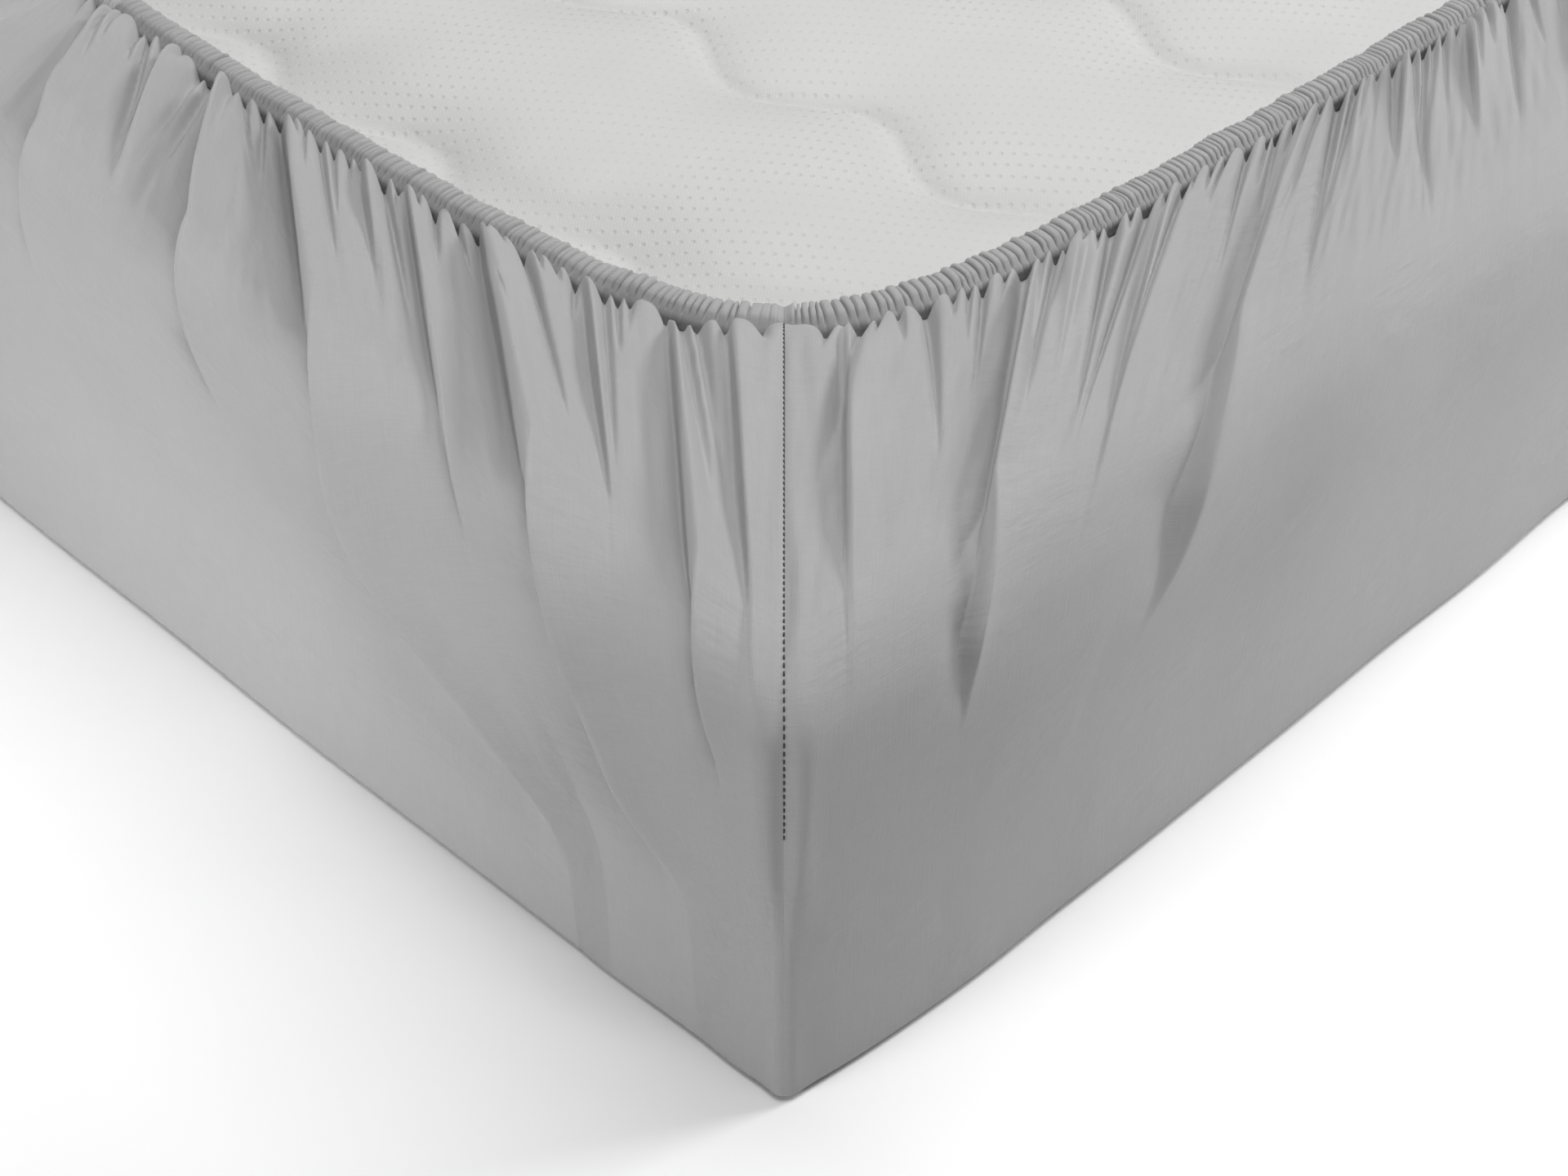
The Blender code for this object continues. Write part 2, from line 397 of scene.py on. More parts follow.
def base_surface(settings, side, columns, rows):
    """The side's smooth shape without folds, in its own coordinates.

    A column's place along the side is its line on the lap, a straight one from the edge to the hem,
    plus its turn down the wall. Near an end every ring of equal inset goes round a quarter circle,
    up to the corner's diagonal.
    """
    length, _ = side_sizes(side)
    edge, hem, low, foot = columns
    inset, height, share = rows
    depth = LAP_HEIGHT - height
    hem_along, hem_inset = cloth_end(settings, length, hem)
    drawn = inset - WALL_FLARE * np.clip(1 - height / FLARE_HEIGHT, 0, 1) ** 2
    course = edge + (hem_along - edge) * drawn / hem_inset
    to_low = bent_share(depth, 0.0, LOW_DEPTH)
    to_foot = bent_share(depth, LOW_DEPTH, FOOT_DEPTH)
    to_low = to_low - to_low[-1:]
    course = course + (low - edge) * to_low + (foot - low) * to_foot
    from_end = np.minimum(course, length - course)
    below = np.clip(1 - height / MIDDLE_HEIGHT, 0, 1)
    middle = CORNER_MIDDLE + (CORNER_FLOOR - CORNER_MIDDLE) * below
    radius = middle + (CORNER_TOP - CORNER_MIDDLE) * ramp(height, 0.9 * MIDDLE_HEIGHT, LAP_HEIGHT)
    around = np.clip(1 - (from_end - drawn) / radius, 0, 1) * math.pi / 4
    turned = np.where(around > 0, drawn + radius * (1 - np.sin(around)), from_end)
    along = np.where(course < length / 2, turned, length - turned)
    placed = drawn + radius * (1 - np.cos(around))
    stand = side["bow"] * (1 - np.clip(1 - (from_end - drawn) / side["bow_reach"], 0, 1) ** 2)
    placed = placed - stand * ramp(depth, 0.0, 2 * settings.edge_radius)
    along = along + (hem_along - along) * share
    placed = placed + (hem_inset - placed) * share
    return np.stack([along, placed, height + 0 * along], axis=-1), course


def outward(base):
    """Unit normals of a grid of points, from its differences along columns and rows."""
    across = np.gradient(base, axis=1)
    upwards = np.gradient(base, axis=0)
    normal = np.cross(across, upwards)
    return normal / np.linalg.norm(normal, axis=-1, keepdims=True)


def matched_at_seams(normal, from_home, from_far, reach):
    """Normals turned so that two sides agree on a seam: near it, the mean of each with its mirror
    image in the corner's diagonal plane."""
    swap = normal[..., [1, 0, 2]]
    for distance, mirrored in ((from_home, swap), (from_far, swap * (-1, -1, 1))):
        weight = (1 - ramp(distance, 0.0, reach))[..., None] / 2
        normal = normal * (1 - weight) + mirrored * weight
    return normal / np.linalg.norm(normal, axis=-1, keepdims=True)


# ---------------------------------------------------------------- folds


RIDGE_REACH = 2.8  # over what distance a fold rises to its ridge, from ridge to trough being 1
TROUGH_REACH = 1.8  # and over what distance it rises again past its trough
TROUGH_SHARE = 0.80  # depth of the trough, as a share of the ridge's height
FADE_LENGTH = 0.070  # length over which a fold dies out
FOLDS_HELD = 0.012  # length from the hem in which the casing holds the folds down
HEM_PINCH = 0.45  # how much narrower a fold is at the hem than at the upper edge
FADE_PINCH = 0.55  # and where it has died out
SPREAD_LENGTH = 0.06  # length down the wall in which a fold's width grows by its width at the edge


def fold_profile(x):
    """Height of a fold across it: 1 on its ridge at 0, and its trough at 1.

    It rises slowly to the ridge, falls steeply to the trough as a smooth step, and rises slowly
    again past it, so that the trough is a crease.
    """
    slow = np.exp(-(np.sqrt(np.minimum(x, 0) ** 2 + 0.09) - 0.3) / RIDGE_REACH)
    steep = 1 - (1 + TROUGH_SHARE) * ramp(x, 0.0, 1.0)
    beyond = -TROUGH_SHARE * np.exp(-np.maximum(x - 1, 0) / TROUGH_REACH)
    return np.where(x < 0, slow, np.where(x < 1, steep, beyond))


def main_folds(side, edge, lap_place, from_hem, past, radius):
    """Height of all the main folds over the smooth shape: each fold's profile across the columns,
    narrower towards the hem and where it dies out, under an envelope along it."""
    held = 1 - 0.95 * np.exp(-from_hem / FOLDS_HELD)
    relief = 0.0
    for fold in named_rows(FOLD_COLUMNS, side["folds"]):
        fade = 1 - ramp(past, fold["end"] - FADE_LENGTH, fold["end"])
        grow = 1 + np.maximum(past - radius, 0) / SPREAD_LENGTH
        pinch = (1 - HEM_PINCH * lap_place) * (1 - FADE_PINCH + FADE_PINCH * fade)
        width = fold["steep"] * pinch * grow
        profile = fold_profile((edge - fold["edge"]) / width)
        relief = relief + fold["crest"] * side["swell"] * held * fade * profile
    return relief


# The small gathers. The steps between them, and the depth and width of each, are drawn between two
# limits. LONGER, DEEPER and WIDER are what a gather of size 1 has more than one of size 0.
GATHER_STEPS = (0.0055, 0.015)
GATHER_SPACING = 0.008  # length of hem for which one step is drawn
GATHER_REACH = 0.016  # how far from the hem it goes
GATHER_LONGER = 0.085
GATHER_DEPTH = (0.0065, 0.0110)
GATHER_DEEPER = 0.0050
GATHER_WIDTH = (0.0014, 0.0024)
GATHER_WIDER = 0.0022
GATHER_LEAN = 0.22  # most that it may lean to either side
GATHER_POINT = 0.03  # how blunt a valley's line is


def gather_places(start, end, rng):
    """Places along the hem of the small gathers, with uneven steps."""
    steps = rng.uniform(*GATHER_STEPS, int((end - start) / GATHER_SPACING))
    places = start + np.cumsum(steps)
    return places[places < end - 0.004]


def small_gathers(hem, from_hem, rng):
    """Depth of the small gathers: the deepest of pointed valleys, each falling off sideways as
    exp(-x^1.4), that are deep and open at the casing and narrow to nothing on the lap."""
    creases = 0.0
    for place in gather_places(hem[0], hem[-1], rng):
        size = rng.uniform(0.0, 1.0) ** 2.2  # few are large
        reach = GATHER_REACH + GATHER_LONGER * size
        deep = rng.uniform(*GATHER_DEPTH) + GATHER_DEEPER * size
        lean = rng.uniform(-GATHER_LEAN, GATHER_LEAN)
        left = np.clip(1 - from_hem / reach, 0, 1)
        width = (rng.uniform(*GATHER_WIDTH) + GATHER_WIDER * size) * (0.45 + 0.55 * left)
        x = (hem - place - lean * from_hem) / width
        valley = np.exp(GATHER_POINT**0.7 - (x**2 + GATHER_POINT) ** 0.7)
        creases = np.maximum(creases, deep * valley * left)
    return creases


def ripples(across, down, rng, count, waves, slant, size):
    """Faint unevenness: a sum of sine waves of several lengths and slants, each with its own phase."""
    total = 0.0
    for _ in range(count):
        wave = 2 * math.pi / rng.uniform(*waves)
        lean = rng.uniform(-slant, slant)
        total = total + np.sin(wave * (across + lean * down) + rng.uniform(0, 2 * math.pi))
    return size * total / math.sqrt(count)


NORMAL_BLEND = 0.012  # distance from a seam in which two sides' directions become one
SEAM_BLEND = 0.010  # and in which their folds become one shape
SEAM_GROOVE = 0.0014  # depth of the groove along a seam
SEAM_RIDGE = 0.0007  # height of the seam allowance beside it
SEAM_SHOWN = (0.075, 0.115)  # heights between which the seam starts to show
STAND_OFF = 0.0038  # how far the lap's cloth stands over the mattress between folds
PUFF_HEIGHT = 0.0014  # how much higher it stands beside the casing
PUFF_PLACE = 0.018  # at what distance from the hem
PUFF_WIDTH = 0.012
PULLED_LENGTH = 0.0045  # distance from the hem over which the casing pulls it down
RIPPLE_LENGTHS = (0.010, 0.040)  # of the lap's fine ripples
RIPPLE_HEIGHT = 0.00055
WAVE_LENGTHS = (0.09, 0.26)  # of the walls' broad waves
WAVE_HEIGHT = 0.0007
WALL_SLACK = 0.0055  # how far the walls' folds reach in
SUNK_DEPTH = 0.007  # how far the lap's folds press the mattress in
BEND_RADIUS = 0.0008  # rounding of the bend where cloth comes to rest


def sunk(inset, under):
    """Height of the pressed mattress under the lap, for an inset from the wall and a distance from
    the casing's free edge."""
    return -SUNK_DEPTH * ramp(inset, 0.005, 0.035) * ramp(under, 0.006, 0.020)


def kept_over(height, least):
    """The height, kept over the least one: their larger, with its bend rounded off as a hyperbola."""
    over = height - least
    return least + (over + np.sqrt(over**2 + BEND_RADIUS**2)) / 2


def relief(settings, side, columns, rows, course):
    """(height over the smooth shape, distance from the home seam, from the far seam) of a side's grid.

    The main folds, the small gathers, the ripples and the stand-off added up, kept over the pressed
    mattress, and blended near a seam into one shape with a groove.
    """
    length, _ = side_sizes(side)
    rng = np.random.default_rng(side["seed"])
    edge, hem, _, _ = columns
    inset, height, share = rows
    depth = np.maximum(LAP_HEIGHT - height, 0.0)
    radius = settings.edge_radius
    _, hem_inset = cloth_end(settings, length, hem)
    plain_inset = inset + (hem_inset - inset) * share
    lap_place = plain_inset / hem_inset
    from_hem = hem_inset - plain_inset
    on_lap = ramp(lap_place, 0.0, 0.45)

    past = depth - np.maximum(plain_inset - radius, 0.0)
    folds = main_folds(side, edge, lap_place, from_hem, past, radius)
    creases = small_gathers(hem, from_hem, rng) * on_lap
    fine = ripples(edge, 0.4 * from_hem, rng, 14, RIPPLE_LENGTHS, 0.7, RIPPLE_HEIGHT) * on_lap
    broad = ripples(edge, depth, rng, 8, WAVE_LENGTHS, 0.8, WAVE_HEIGHT)
    puffed = STAND_OFF + PUFF_HEIGHT * np.exp(-(((from_hem - PUFF_PLACE) / PUFF_WIDTH) ** 2))
    pulled = STAND_OFF * np.exp(-from_hem / PULLED_LENGTH)
    loose = puffed * on_lap - pulled
    seam = STAND_OFF * on_lap - pulled
    own = folds + loose + fine + broad * (1 - 0.5 * on_lap)
    on_top = ramp(height, LAP_HEIGHT - radius, LAP_HEIGHT)
    slack = WALL_SLACK * (1 - on_top)
    pressed = sunk(plain_inset, from_hem + settings.casing_width) * on_top
    own = kept_over(own, pressed * ramp(from_hem, 0.002, 0.026) - slack) - creases

    from_home = (course + (hem - course) * share - plain_inset) / math.sqrt(2)
    from_far = (length - course + (course - hem) * share - plain_inset) / math.sqrt(2)
    distance = np.maximum(np.minimum(from_home, from_far), 0.0)
    sewn = ramp(height, *SEAM_SHOWN)
    blended = seam + (own - seam) * ramp(distance, 0.0, SEAM_BLEND)
    groove = SEAM_GROOVE * np.exp(-((distance / 0.0032) ** 2)) * sewn
    allowance = SEAM_RIDGE * np.exp(-(((distance - 0.006) / 0.0035) ** 2)) * sewn
    total = kept_over(blended - groove + allowance, pressed - slack)
    return total, np.maximum(from_home, 0.0), np.maximum(from_far, 0.0)


# ---------------------------------------------------------------- meshes


def grid_faces(row_count, column_count, reverse, closed_rows=False):
    """Quads of a grid of points in rows, each seen anticlockwise from outside."""
    row = np.arange(row_count if closed_rows else row_count - 1)[:, None]
    column = np.arange(column_count - 1)[None, :]
    above = (row + 1) % row_count
    corners = [
        row * column_count + column,
        row * column_count + column + 1,
        above * column_count + column + 1,
        above * column_count + column,
    ]
    faces = np.stack([corner.ravel() for corner in corners], axis=-1)
    return faces[:, ::-1] if reverse else faces


def new_mesh(name, points, quads, uv=None, polygons=()):
    """A smooth mesh from arrays of points and quads, with more polygons after them if given."""
    mesh = bpy.data.meshes.new(name)
    points = np.asarray(points, np.float32).reshape(-1, 3)
    corners = [np.asarray(quads, np.int32).ravel(), *(np.asarray(p, np.int32) for p in polygons)]
    sizes = np.array([4] * len(quads) + [len(p) for p in polygons], np.int32)
    mesh.vertices.add(len(points))
    mesh.vertices.foreach_set("co", points.ravel())
    corners = np.concatenate(corners)
    mesh.loops.add(len(corners))
    mesh.loops.foreach_set("vertex_index", corners)
    mesh.polygons.add(len(sizes))
    mesh.polygons.foreach_set("loop_start", np.concatenate([[0], np.cumsum(sizes)[:-1]]).astype(np.int32))
    mesh.update(calc_edges=True)
    if uv is not None:
        layer = mesh.uv_layers.new(name="cloth")
        layer.data.foreach_set("uv", np.asarray(uv, np.float32).reshape(-1, 2)[corners].ravel())
    if mesh.validate():
        raise ValueError(f"{name} has faces that can't be made")
    mesh.shade_smooth()
    return mesh


def new_piece(name, mesh, finish):
    """An object of that mesh in the scene, with its finish, riding on the part's body."""
    piece = bpy.data.objects.new(name, mesh)
    bpy.context.scene.collection.objects.link(piece)
    mesh.materials.append(finish)
    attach(piece, "root")
    return piece


# ---------------------------------------------------------------- finishes


class Value:
    """A number socket. An expression on it adds Math nodes."""

    def __init__(self, finish, socket):
        self.finish = finish
        self.socket = socket

    def _math(self, operation, *values):
        return self.finish.value("ShaderNodeMath", {"operation": operation}, dict(enumerate(values)))

    def __add__(self, other):
        return self._math("ADD", self, other)

    def __radd__(self, other):
        return self._math("ADD", other, self)

    def __sub__(self, other):
        return self._math("SUBTRACT", self, other)

    def __rsub__(self, other):
        return self._math("SUBTRACT", other, self)

    def __mul__(self, other):
        return self._math("MULTIPLY", self, other)

    def __rmul__(self, other):
        return self._math("MULTIPLY", other, self)

    def __truediv__(self, other):
        return self._math("DIVIDE", self, other)

    def __rtruediv__(self, other):
        return self._math("DIVIDE", other, self)

    def sine(self):
        return self._math("SINE", self)

    def absolute(self):
        return self._math("ABSOLUTE", self)

    def rounded(self):
        return self._math("ROUND", self)

    def root(self):
        return self._math("SQRT", self)

    def rise(self, low, high):
        """A smooth rise from 0 at low to 1 at high."""
        settings = {"interpolation_type": "SMOOTHSTEP"}
        sockets = {"Value": self, "From Min": low, "From Max": high}
        return self.finish.value("ShaderNodeMapRange", settings, sockets)


class Finish:
    """A material with a Principled shader, and one way to add any node to it."""

    def __init__(self, name, uniform):
        self.material = bpy.data.materials.new(name)
        self.material.use_nodes = True
        self.tree = self.material.node_tree
        self.tree.nodes.clear()
        self.shader = self.node("ShaderNodeBsdfPrincipled", {}, uniform)
        self.node("ShaderNodeOutputMaterial", {}, {"Surface": self.shader.outputs["BSDF"]})

    def node(self, kind, settings, sockets):
        """A node of that type. Settings are set first, then each socket gets a value or a link."""
        made = self.tree.nodes.new(kind)
        for key, setting in settings.items():
            setattr(made, key, setting)
        for key, given in sockets.items():
            if isinstance(key, int):
                socket = made.inputs[key]
            else:
                socket = next(s for s in made.inputs if s.enabled and s.name == key)
            given = given.socket if isinstance(given, Value) else given
            if isinstance(given, bpy.types.NodeSocket):
                self.tree.links.new(given, socket)
            else:
                socket.default_value = given
        return made

    def value(self, kind, settings, sockets, output=0):
        """The same, as a value for expressions."""
        return Value(self, self.node(kind, settings, sockets).outputs[output])

    def set(self, name, given):
        """Links a socket of the shader."""
        given = given.socket if isinstance(given, Value) else given
        self.tree.links.new(given, self.shader.inputs[name])

    def mixed(self, factor, first, second):
        """A colour between two, by the factor."""
        made = self.node(
            "ShaderNodeMix", {"data_type": "RGBA"}, {"Factor": factor, "A": first, "B": second}
        )
        return next(s for s in made.outputs if s.enabled)

    def noise(self, place, scale, detail):
        """Noise from 0 to 1."""
        sockets = {"Vector": place, "Scale": scale, "Detail": detail, "Roughness": 0.55}
        return self.value("ShaderNodeTexNoise", {"noise_dimensions": "3D"}, sockets)

    def bump(self, height, distance, strength, under=None):
        """A Bump node's normal, for a height from 0 to 1 over that distance, on one under it."""
        sockets = {"Height": height, "Distance": distance, "Strength": strength}
        if under is not None:
            sockets["Normal"] = under
        return self.node("ShaderNodeBump", {}, sockets).outputs["Normal"]


def shade(colour, share):
    """The colour times share, with alpha."""
    return (*(share * part for part in colour), 1.0)


def cotton(name, colour, thread=0.00042):
    """Plain-woven cotton, on the piece's own cloth coordinates.

    Warp and weft are two sine waves of one thread's pitch, each over the other in turn. Slubs are
    noise drawn out along the threads.
    """
    made = Finish(name, {"Roughness": 0.86, "Sheen Weight": 0.25, "Sheen Roughness": 0.45})
    cloth = made.node("ShaderNodeUVMap", {"uv_map": "cloth"}, {}).outputs["UV"]
    apart = made.node("ShaderNodeSeparateXYZ", {}, {"Vector": cloth})
    across, along = (Value(made, apart.outputs[axis]) for axis in ("X", "Y"))
    turn = math.pi / thread
    warp = (across * turn).sine()
    weft = (along * turn).sine()
    weave = (warp * weft).absolute()

    def drawn_out(stretch_x, stretch_y, scale):
        sockets = {"Vector": cloth, "Scale": (stretch_x, stretch_y, 1.0)}
        place = made.node("ShaderNodeMapping", {}, sockets).outputs["Vector"]
        return made.noise(place, scale, 2.0)

    slubs = drawn_out(1.0, 0.06, 900.0) * 0.5 + drawn_out(0.06, 1.0, 900.0) * 0.5
    cloudy = made.noise(cloth, 9.0, 3.0)
    tone = (cloudy - 0.5) * 0.5 + (slubs - 0.5) * 0.9 + (weave - 0.5) * 0.12 + 0.5
    made.set("Base Color", made.mixed(tone, shade(colour, 0.90), shade(colour, 1.10)))
    made.set("Roughness", 0.90 - slubs * 0.10)
    creased = drawn_out(0.45, 1.0, 110.0)
    shown = made.noise(cloth, 13.0, 1.0).rise(0.45, 0.62)
    wrinkles = made.bump(creased * shown, 0.0018, 0.50)
    threads = made.bump(weave, 0.00012, 0.55, wrinkles)
    made.set("Normal", made.bump(slubs, 0.00034, 0.70, threads))
    return made.material


def thread_finish(name, colour):
    """Sewing thread: a twist of two plies, as slanting stripes. Its near-black colour also stands for the
    shade in the stitch holes: painted shade.
    """
    made = Finish(name, {"Roughness": 0.6, "Sheen Weight": 0.2})
    place = made.node("ShaderNodeTexCoord", {}, {}).outputs["Object"]
    apart = made.node("ShaderNodeSeparateXYZ", {}, {"Vector": place})
    x, y, z = (Value(made, apart.outputs[axis]) for axis in ("X", "Y", "Z"))
    twist = ((x + y + z) * 9000.0).sine() * 0.5 + 0.5
    made.set("Base Color", made.mixed(twist, shade(colour, 0.7), shade(colour, 1.5)))
    made.set("Normal", made.bump(twist, 0.0001, 0.5))
    return made.material


# The knit's small pits stand on a slanting lattice, in metres: two steps from a pit to the next.
PIT_STEP_A = (0.0043, 0.0033)
PIT_STEP_B = (0.0072, -0.0044)


def knit_cover(name, colour):
    """Double knit: small pits on a slanting lattice over fine rows of loops. The pits are also darkened in
    the colour, as painted shade in the pits.
    """
    made = Finish(name, {"Roughness": 0.92, "Sheen Weight": 0.35, "Sheen Roughness": 0.5})
    place = made.node("ShaderNodeTexCoord", {}, {}).outputs["Object"]
    apart = made.node("ShaderNodeSeparateXYZ", {}, {"Vector": place})
    x, y = (Value(made, apart.outputs[axis]) for axis in ("X", "Y"))
    (ax, ay), (bx, by) = PIT_STEP_A, PIT_STEP_B
    area = ax * by - ay * bx
    first = (x * by - y * bx) / area
    second = (y * ax - x * ay) / area
    first = first - first.rounded()
    second = second - second.rounded()
    dx = first * ax + second * bx
    dy = first * ay + second * by
    pit = (dx * dx + dy * dy).root().rise(0.0016, 0.0004)
    loops = (x * (math.pi / 0.0009)).sine() * (y * (math.pi / 0.0011)).sine()
    patchy = made.noise(place, 14.0, 2.0)
    shown = patchy.rise(0.38, 0.62) * 0.55 + 0.45
    # pit * shown darkens the colour in each pit: painted shade in the pits, added to their bump
    tone = 0.5 + (patchy - 0.5) * 0.5 - pit * shown * 0.35 + loops * 0.06
    made.set("Base Color", made.mixed(tone, shade(colour, 0.90), shade(colour, 1.08)))
    fine = made.bump(loops * 0.5 + 0.5, 0.00015, 0.35)
    made.set("Normal", made.bump(1 - pit * shown, 0.0007, 0.5, fine))
    return made.material


def floor_finish(name, colour):
    """Matt painted board, with a faint unevenness."""
    made = Finish(name, {"Roughness": 0.9})
    place = made.node("ShaderNodeTexCoord", {}, {}).outputs["Object"]
    uneven = made.noise(place, 3.0, 2.0)
    made.set("Base Color", made.mixed(uneven, shade(colour, 0.985), shade(colour, 1.0)))
    return made.material


def finish_once(name, maker, *values):
    """The named material, made on first use."""
    return bpy.data.materials.get(name) or maker(name, *values)


# ---------------------------------------------------------------- pieces


COVER_STEP = 0.0054  # step between the cover's lines where it shows
COVER_OUTER_LINES = 12  # lines from there to each edge
COVER_SHOWN = 0.106  # distance from the wall where the fine lines start
SKIRT_START = 0.009  # height under the top face of the first ring of the mattress's sides
SKIRT_RINGS = 20
CHANNEL_DEPTH = 0.0026  # depth of the stitched line of a channel
CHANNEL_WIDTH = 0.0042
SWELL_EXPONENT = 2.6
PUFF_TOP = 0.0032  # height of the padding's swells over the block
WAVE_CREST = 0.193  # place across the mattress of one crest of the channels' waves
FIRST_CHANNEL = -0.857  # place along the mattress of one channel
PADDED_FROM = (0.05, 0.09)  # distances from the edge between which the quilting starts
FLATTENED = 0.6  # share of the quilting's depth that the casing presses flat


def mattress_lines(half, visible):
    """Places of a grid's lines across the mattress: fine where it shows, coarse under the lap."""
    fine = np.linspace(-visible, visible, int(round(2 * visible / COVER_STEP)) + 1)
    rest = np.linspace(visible, half, COVER_OUTER_LINES + 1)[1:]
    return np.concatenate([-rest[::-1], fine, rest])


def quilting(settings, x, y):
    """Height of the padding: between two wavy channels it swells as 1 - |2t - 1|^p, with t the
    share of the way from one to the next, and both channels wave as a cosine of x."""
    wave = settings.wave_height * np.cos(2 * math.pi * (x - WAVE_CREST) / settings.wave_length)
    share = (y - FIRST_CHANNEL - wave) / settings.wave_spacing % 1.0
    swell = 1 - np.abs(2 * share - 1) ** SWELL_EXPONENT
    channel = np.exp(-((0.5 - np.abs(share - 0.5)) * settings.wave_spacing / CHANNEL_WIDTH) ** 2)
    return settings.puff * (swell - 1) + PUFF_TOP - CHANNEL_DEPTH * channel


def rounded_box(points, half, bottom, top, radius):
    """Points of a sharp box moved on to the rounded one: each goes to its nearest point of the
    inner box, and from there one radius towards itself."""
    low = np.array([-half[0], -half[1], bottom]) + radius
    high = np.array([half[0], half[1], top]) - radius
    inner = np.clip(points, low, high)
    away = points - inner
    reach = np.linalg.norm(away, axis=-1, keepdims=True)
    return inner + away / reach * radius


def under_lap(x, y):
    """(distance from the nearest wall, distance outside the casing's free edge) of places on the
    mattress. Near a corner the free edge is the hyperbola of hem_line."""
    sheet = bpy.context.scene.fitted_sheet
    from_walls = np.stack([WALL_X - np.abs(x), WALL_Y - np.abs(y)])
    near, far = from_walls.min(axis=0), from_walls.max(axis=0)
    past = np.maximum(far - sheet.hem_inset, 0.001)
    return near, sheet.hem_inset + sheet.hem_round**2 / past - near


class FITTEDSHEET_OT_mattress(bpy.types.Operator):
    """Makes the mattress with its quilted top"""

    bl_idname = "fitted_sheet.mattress"
    bl_label = "Mattress"

    def execute(self, context):
        settings = context.scene.fitted_mattress
        half = (BLOCK_HIGH.x, BLOCK_HIGH.y)
        top, bottom = BLOCK_HIGH.z, BLOCK_LOW.z
        radius = settings.edge_radius
        xs = mattress_lines(half[0], WALL_X - COVER_SHOWN)
        ys = mattress_lines(half[1], WALL_Y - COVER_SHOWN)
        x, y = (grid.T for grid in np.meshgrid(xs, ys, indexing="ij"))
        face = rounded_box(np.stack([x, y, top + 0 * x], axis=-1), half, bottom, top, radius)
        padded = ramp(half[0] - np.abs(x), *PADDED_FROM) * ramp(half[1] - np.abs(y), *PADDED_FROM)
        near, under = under_lap(x, y)
        pressed = 1 - FLATTENED * ramp(under, -0.030, 0.002)
        face[..., 2] += quilting(settings, x, y) * padded * pressed + sunk(near, under)
        rows, columns = x.shape
        index = np.arange(rows * columns).reshape(rows, columns)
        ring = np.concatenate([index[0], index[1:, -1], index[-1, -2::-1], index[-2:0:-1, 0]])
        outline = np.stack([x, y], axis=-1).reshape(-1, 2)[ring]
        heights = np.linspace(top - SKIRT_START, bottom + SKIRT_START, SKIRT_RINGS)
        heights = np.append(heights, bottom)
        skirt = np.stack([np.c_[outline, np.full(len(outline), z)] for z in heights])
        skirt = rounded_box(skirt, half, bottom, top, radius)
        count = len(ring)
        points = np.concatenate([face.reshape(-1, 3), skirt.reshape(-1, 3)])
        skirt_rings = rows * columns + np.arange(count * len(heights)).reshape(-1, count)
        rings = np.concatenate([ring[None], skirt_rings])
        following = np.roll(rings, -1, axis=1)
        walls = np.stack([rings[:-1], rings[1:], following[1:], following[:-1]], axis=-1).reshape(-1, 4)
        quads = np.concatenate([grid_faces(rows, columns, False), walls])
        mesh = new_mesh("mattress_cover", points, quads, None, [rings[-1][::-1]])
        finish = finish_once("white double knit", knit_cover, settings.cover_colour)
        piece = new_piece("mattress_cover", mesh, finish)
        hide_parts("mattress")
        return {"FINISHED"}


class FITTEDSHEET_OT_sides(bpy.types.Operator):
    """Makes the sheet's four gathered sides, from seam to seam"""

    bl_idname = "fitted_sheet.sides"
    bl_label = "Sheet sides"

    def execute(self, context):
        settings = context.scene.fitted_sheet
        finish = finish_once("grey cotton", cotton, settings.cloth_colour)
        for side in named_rows(SIDE_COLUMNS, SIDES):
            columns = column_places(settings, side)
            rows = section_rows(settings)
            base, course = base_surface(settings, side, columns, rows)
            height, from_home, from_far = relief(settings, side, columns, rows, course)
            normal = matched_at_seams(outward(base), from_home, from_far, NORMAL_BLEND)
            points = base + normal * height[..., None]
            world = to_world(side, *np.moveaxis(points, -1, 0))
            down = np.cumsum(np.linalg.norm(np.diff(base, axis=0, prepend=base[:1]), axis=-1), axis=0)
            uv = np.stack([np.broadcast_to(columns[0], down.shape), down], axis=-1)
            faces = grid_faces(*down.shape, side["flipped"])
            name = "sheet_" + side["name"]
            piece = new_piece(name, new_mesh(name, world, faces, uv), finish)
            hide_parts("fitted_sheet")
        return {"FINISHED"}


# A side and its column, for each corner seam.
SEAM_SIDES = (("front", 0), ("back", 0), ("left", 0), ("back", -1))
STITCH_PITCH = 0.0032
STITCH_LENGTH = 0.0023
STITCH_RADIUS = 0.00036
STITCHED_FROM = 0.135  # height over the floor where the stitches start
STITCHES_END = 0.006  # and how far before the hem they end
# A stitch's rings: share of its length, share of its radius, and how far out of the cloth.
STITCH_RINGS = (
    (0.0, 0.15, -0.0002),
    (0.12, 0.9, 0.0001),
    (0.5, 1.0, 0.0003),
    (0.88, 0.9, 0.0001),
    (1.0, 0.15, -0.0002),
)
STITCH_SIDES = 6


